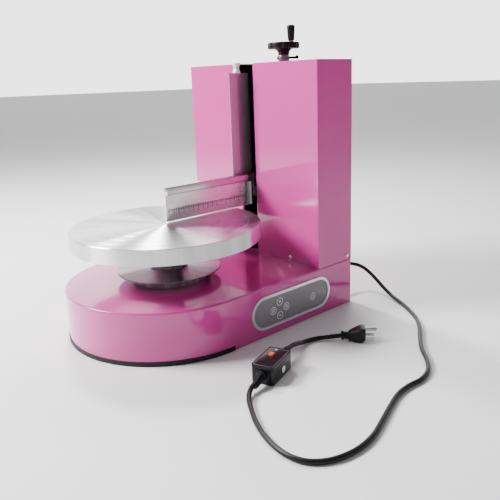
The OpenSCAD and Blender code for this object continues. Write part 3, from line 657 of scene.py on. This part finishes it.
def make_plug():
    """The moulded plug: collar, neck and a body that widens towards its pins."""
    sections = [
        (11, 12, 3, 15, 5.5), (12.2, 14.4, 1.6, 16.4, 5.5), (17, 17.4, 0.9, 18.4, 5),
        (22, 20, 0.5, 20.4, 4.6), (27, 23, 0.3, 22, 4.2), (30.5, 24.8, 0.3, 22.9, 3.8),
        (34, 24.6, 3.1, 22.9, 3.6), (35.4, 24, 4.1, 22.6, 3.4), (36, 22.8, 4.8, 22, 3),
    ]
    body = loft([plug_loop(*section) for section in sections])
    collar = moved(lathe([
        (0, 0), (5.6, 0), (6.3, 0.5), (7, 3), (6.8, 3.8), (5.6, 4.2), (5.4, 6.4), (6, 6.8),
        (6, 8.2), (5.4, 8.6), (5.7, 11.8), (0, 11.8),
    ], 32), at(0, 0, 9, 90, "Y"))
    moulding = add_piece(
        "plug_moulding", joined(body, collar), "machine", "lead_black", ["plug_body"], place=PLUG)
    half = PRONG_THICK / 2
    outline = [(-half, -1), (half, -1), (half, 1), (-half, 1)]
    prongs = []
    for side in (-PRONG_SPACING / 2, PRONG_SPACING / 2):
        prongs.append(loft([
            [(PLUG_FACE_X + along, side + y, PRONG_Z + z * reach) for y, z in outline]
            for along, reach in [(0, 3.15), (13, 3.15), (14.5, 2.2)]
        ]))
    pin = lathe([(0, 0), (2.4, 0), (2.4, 15.2), (2.2, 16.4), (1.4, 17.6), (0, 18)], 24)
    earth_pin = moved(pin, at(PLUG_FACE_X, 0, EARTH_PIN_Z, 90, "Y"))
    pins = add_piece(
        "plug_blades", joined(*prongs, earth_pin), "machine", "pin_metal", ["plug_pins"],
        place=PLUG)
    return [moulding, pins]


# ---- marks on the panel and the ruler ----

KEY_FACE_X = 162.4
KEY_INK_PROUD = 0.04
KEY_RING_RADIUS = 6.0
KEY_RING_WIDTH = 1.1
BOLD_STROKE = 1.2
FINE_STROKE = 0.8
RULER_INK_PROUD = 0.05
RULER_BACK_X = -5
RULER_FOOT_THICK = 0.7
RULER_BODY_THICK = 2
RULER_FOOT_Z = 169
RULER_BEVEL_HEIGHT = 21


def flat_strip(points, width):
    """Left and right edges of a band of a width along a row of 2D points."""
    left, right = [], []
    for i, point in enumerate(points):
        ahead = (points[min(i + 1, len(points) - 1)] - points[max(i - 1, 0)]).normalized()
        side = Vector((-ahead.y, ahead.x)) * width / 2
        left.append(point + side)
        right.append(point - side)
    return left, right


def stroke(points, width):
    """A flat band along 2D points, as points and faces in the plane Z = 0."""
    left, right = flat_strip([Vector(point) for point in points], width)
    count = len(left)
    corners = [(p.x, p.y, 0) for p in left + right]
    faces = [[i, i + 1, count + i + 1, count + i] for i in range(count - 1)]
    return corners, faces


def arc(radius, start, end, steps=40):
    """Points on an arc, angles in degrees."""
    turns = [math.radians(start + (end - start) * i / steps) for i in range(steps + 1)]
    return [(radius * math.cos(turn), radius * math.sin(turn)) for turn in turns]


def disc(radius):
    """A flat disc in the plane Z = 0."""
    steps = 24
    points = [(x, y, 0) for x, y in arc(radius, 0, 360 - 360 / steps, steps - 1)]
    return points, [list(range(steps))]


def key_marks():
    """The printed marks, by CAD node: its place on the panel and its drawing."""
    minus = stroke([(-2.4, 0), (2.4, 0)], BOLD_STROKE)
    plus = joined(minus, stroke([(0, -2.4), (0, 2.4)], BOLD_STROKE))
    arrow_head = stroke([(1.2, 1.3), (2.9, 1.1), (3.2, 2.9)], FINE_STROKE)
    mode = joined(stroke(arc(2.8, 20, 330), FINE_STROKE), arrow_head, disc(0.9))
    start = joined(disc(1.5), stroke(arc(3.2, 0, 360), 0.5))
    power = joined(stroke(arc(2.8, 120, 420), FINE_STROKE), stroke([(0, 0.2), (0, 3.6)], FINE_STROKE))
    return {
        "key_mode": ((25.4, 38.4), mode), "key_faster": ((39.8, 50), plus),
        "key_slower": ((39.9, 27.3), minus), "key_start": ((54.2, 38.4), start),
        "key_power": ((116.4, 37.6), power),
    }


def make_key_marks(symbol_ink, ring_ink):
    """A ring and a symbol on each key, printed just proud of it."""
    ring = stroke(arc(KEY_RING_RADIUS, 0, 360), KEY_RING_WIDTH)
    for node, (centre, symbol) in key_marks().items():
        facing = Matrix(((0, 0, 1, KEY_FACE_X + KEY_INK_PROUD), (1, 0, 0, centre[0]),
                         (0, 1, 0, centre[1]), (0, 0, 0, 1)))
        body = body_of_node(node)
        add_piece(node + "_symbol", symbol, body, symbol_ink, place=facing)
        add_piece(node + "_ring", ring, body, ring_ink, place=facing)


def blade_face(along, height):
    """A point just proud of the level blade's bevelled face, at a distance along the blade."""
    widening = (RULER_BODY_THICK - RULER_FOOT_THICK) / RULER_BEVEL_HEIGHT
    thickness = RULER_FOOT_THICK + widening * (height - RULER_FOOT_Z)
    return Vector((RULER_BACK_X + thickness + RULER_INK_PROUD, along, height))


def number_shape(number, along, height, size):
    """A number as flat letters on the level blade, centred at a distance along it."""
    curve = bpy.data.curves.new("digits", "FONT")
    curve.body = str(number)
    curve.size = size
    curve.align_x = "CENTER"
    holder = bpy.data.objects.new("digits", curve)
    mesh = holder.to_mesh()
    points = [blade_face(along + v.co.x, height + v.co.y) for v in mesh.vertices]
    faces = [list(face.vertices) for face in mesh.polygons]
    holder.to_mesh_clear()
    bpy.data.objects.remove(holder)
    bpy.data.curves.remove(curve)
    return points, faces


def make_ruler(ink):
    """Millimetre ticks and centimetre numbers along the level blade."""
    start, end, top = -44, 122, 189.4
    numbers_z, number_size = 178.4, 4.6
    ticks = []
    for k in range(end - start + 1):
        if k % 10 == 0:
            reach, half = 6.5, 0.55
        elif k % 5 == 0:
            reach, half = 4.6, 0.4
        else:
            reach, half = 3, 0.15
        y = start + k
        ticks.append(([
            blade_face(y - half, top), blade_face(y + half, top),
            blade_face(y + half, top - reach), blade_face(y - half, top - reach),
        ], [[0, 1, 2, 3]]))
    add_piece("ruler_ticks", joined(*ticks), "arm", ink)
    numbers = [
        number_shape(k, start + 10 * k, numbers_z, number_size)
        for k in range((end - start) // 10 + 1)
    ]
    add_piece("ruler_numbers", joined(*numbers), "arm", ink)


# ---- grip and side knob ----


def smooth_profile(stops):
    """A rounded profile for the lathe through (radius, height) stops."""
    return [(p.x, p.y) for p in smooth_path([(r, h, 0) for r, h in stops], 6)]


def make_grip():
    """The tapered grip with a rounded top, turning on its pin."""
    bottom, top, from_axis = 449.5, 475, 18
    side = smooth_profile([
        (4.6, 0), (5.3, 1.6), (6, 9), (6.6, 18), (6.75, 22), (6.3, 24.3), (4.8, 25.3),
    ])
    profile = [(0, 0.1)] + side + [(2.2, top - bottom), (0, top - bottom)]
    add_piece("grip_turned", lathe(profile), "grip", "black_plastic", ["handle_grip"],
              place=at(SCREW_AXIS[0] + from_axis, SCREW_AXIS[1], bottom))


def make_side_knob():
    """The glossy white waisted knob on top of the side blade."""
    height = 17.3
    side = smooth_profile([
        (6.0, 0), (6.8, 1), (6.5, 3), (5.3, 6), (4.9, 8.5), (5.3, 11), (6.8, 14),
        (7.4, 15.6), (7.1, 16.8), (6.0, height),
    ])
    profile = [(0, 0)] + side + [(0, height)]
    add_piece("side_knob_turned", lathe(profile), "side_scraper", "white_plastic", ["side_knob"],
              place=at(-9.2, 118, 400.2))


# ---- the whole scene ----

ROUNDED_EDGES = {
    "handwheel": 0.7, "arm_bar": 0.3, "arm_tongue": 0.4, "lock_collar": 0.3,
    "side_carrier": 0.4, "carriage": 0.6, "front_skid": 0.6,
}


def dress_frame():
    """Gives every CAD node that is still shown its material."""
    for node, thing in NODES.items():
        thing.data.materials.clear()
        thing.data.materials.append(finish_of(node))


def make_floor():
    """A plain pale floor, a hair below the feet."""
    reach, drop = 30, 0.0002
    finish = Finish("floor", {"Roughness": 0.6})
    finish.give("Base Color", finish.blend(finish.noise(3), srgb(242, 242, 242), srgb(245, 245, 245)))
    mesh = bpy.data.meshes.new("floor")
    mesh.from_pydata(
        [(-reach, -reach, 0), (reach, -reach, 0), (reach, reach, 0), (-reach, reach, 0)],
        [], [[0, 1, 2, 3]],
    )
    mesh.materials.append(finish.material)
    floor = bpy.data.objects.new("floor", mesh)
    floor.location.z = -drop
    bpy.context.scene.collection.objects.link(floor)


place_camera()
light_studio()
make_floor()
dress_frame()

box_pieces = make_switch_box()
plug_pieces = make_plug()
gland = make_gland()
make_lead("mains_lead", MAINS_ROUTE)
make_lead("plug_lead", PLUG_ROUTE)

for part, width in ROUNDED_EDGES.items():
    soften(part, width)
make_grip()
make_side_knob()
pale_ink = plain_plastic("pale_ink", srgb(252, 250, 252), 0.4, 0.0)
grey_ink = plain_plastic("grey_ink", srgb(240, 236, 240), 0.4, 0.0)
black_ink = plain_plastic("black_ink", srgb(24, 24, 27), 0.5, 0.0)
make_key_marks(pale_ink, grey_ink)
make_ruler(black_ink)
